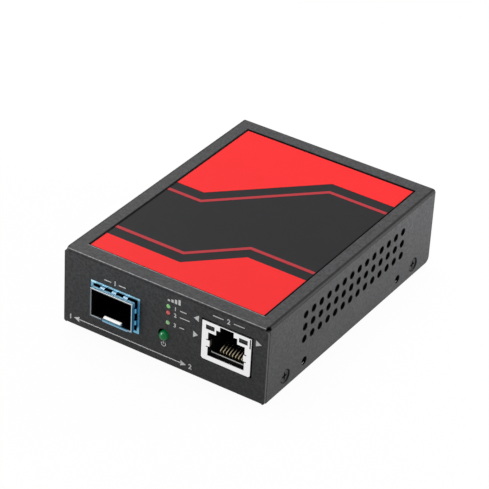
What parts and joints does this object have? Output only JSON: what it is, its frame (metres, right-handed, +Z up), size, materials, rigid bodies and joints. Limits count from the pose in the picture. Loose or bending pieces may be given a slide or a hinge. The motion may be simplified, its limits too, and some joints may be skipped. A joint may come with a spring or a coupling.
{
  "type": "ethernet media converter",
  "caption": "Small sheet-metal box that joins a copper network socket to a pluggable fibre module slot, with vented flanks and status lamps.",
  "frame": {"origin": "middle of the bounding box's footprint, at the bottom of the feet", "axes": "+X to the right seen from the front, +Y from the front panel to the back, +Z up"},
  "size_m": [0.07, 0.0962, 0.0276],
  "materials": {
    "cover_paint": "fine textured powder coat, dark grey, matt",
    "tray_paint": "fine textured powder coat, charcoal, matt",
    "screw_black": "black oxide steel, satin",
    "foot_rubber": "matt black rubber",
    "label_dark": "matt polyester film, charcoal",
    "label_red": "flat screen-printed red",
    "board_green": "solder mask, satin",
    "plated_brass": "turned, plain",
    "zinc_steel": "zinc plated",
    "amber_film": "thin amber film",
    "cage_steel": "bright plated sheet",
    "spring_steel": "bright spring sheet with a blue cast",
    "frame_bright": "bright ring with a blue cast",
    "black_moulding": "black moulded plastic",
    "contact_gold": "gold flash",
    "shield_nickel": "bright nickel plated sheet",
    "lens_grey": "smoked clear lens, unlit",
    "lamp_green": "diffused green lens",
    "lamp_red": "diffused red lens",
    "lamp_pale": "diffused pale green lens",
    "power_green": "tinted green lens",
    "chip_black": "moulded chip package",
    "pad_grey": "soft thermal pad",
    "sink_anodised": "black anodised, extruded",
    "choke_grey": "pressed iron powder",
    "can_aluminium": "drawn can",
    "dip_blue": "blue moulded plastic",
    "lever_white": "white moulded plastic"
  },
  "bodies": {
    "case": {"base_tray": "tray_paint", "top_cover": "cover_paint", "cover_screws": "screw_black", "rubber_feet": "foot_rubber", "label_film": "label_dark", "label_print": "label_red", "main_board": "board_green", "standoffs": "plated_brass", "board_screws": "zinc_steel", "insulating_film": "amber_film", "sfp_cage": "cage_steel", "sfp_springs": "spring_steel", "slot_frame": "frame_bright", "sfp_connector": "black_moulding", "sfp_contacts": "contact_gold", "rj45_shield": "shield_nickel", "rj45_insert": "black_moulding", "rj45_contacts": "contact_gold", "rj45_lenses": "lens_grey", "lamp_holder": "black_moulding", "lamp_upper": "lamp_green", "lamp_middle": "lamp_red", "lamp_lower": "lamp_pale", "power_lamp": "power_green", "power_lamp_leads": "zinc_steel", "main_chip": "chip_black", "thermal_pad": "pad_grey", "heatsink": "sink_anodised", "second_chip": "chip_black", "line_transformer": "chip_black", "chokes": "choke_grey", "capacitors": "can_aluminium", "clock_crystal": "can_aluminium", "memory_chip": "chip_black", "regulators": "chip_black", "small_parts": "choke_grey", "inlet_body": "black_moulding", "inlet_pin": "zinc_steel", "inlet_tabs": "zinc_steel", "dip_body": "dip_blue"},
    "lever_1": {"dip_lever_1": "lever_white"},
    "lever_2": {"dip_lever_2": "lever_white"},
    "lever_3": {"dip_lever_3": "lever_white"},
    "lever_4": {"dip_lever_4": "lever_white"}
  },
  "joints": [
    {"name": "dip_lever_1_slide", "type": "slide", "parent": "case", "child": "lever_1", "axis": [0, 0, 1], "range_m": [0, 0.0012]},
    {"name": "dip_lever_2_slide", "type": "slide", "parent": "case", "child": "lever_2", "axis": [0, 0, 1], "range_m": [0, 0.0012]},
    {"name": "dip_lever_3_slide", "type": "slide", "parent": "case", "child": "lever_3", "axis": [0, 0, 1], "range_m": [0, 0.0012]},
    {"name": "dip_lever_4_slide", "type": "slide", "parent": "case", "child": "lever_4", "axis": [0, 0, 1], "range_m": [0, 0.0012]}
  ]
}
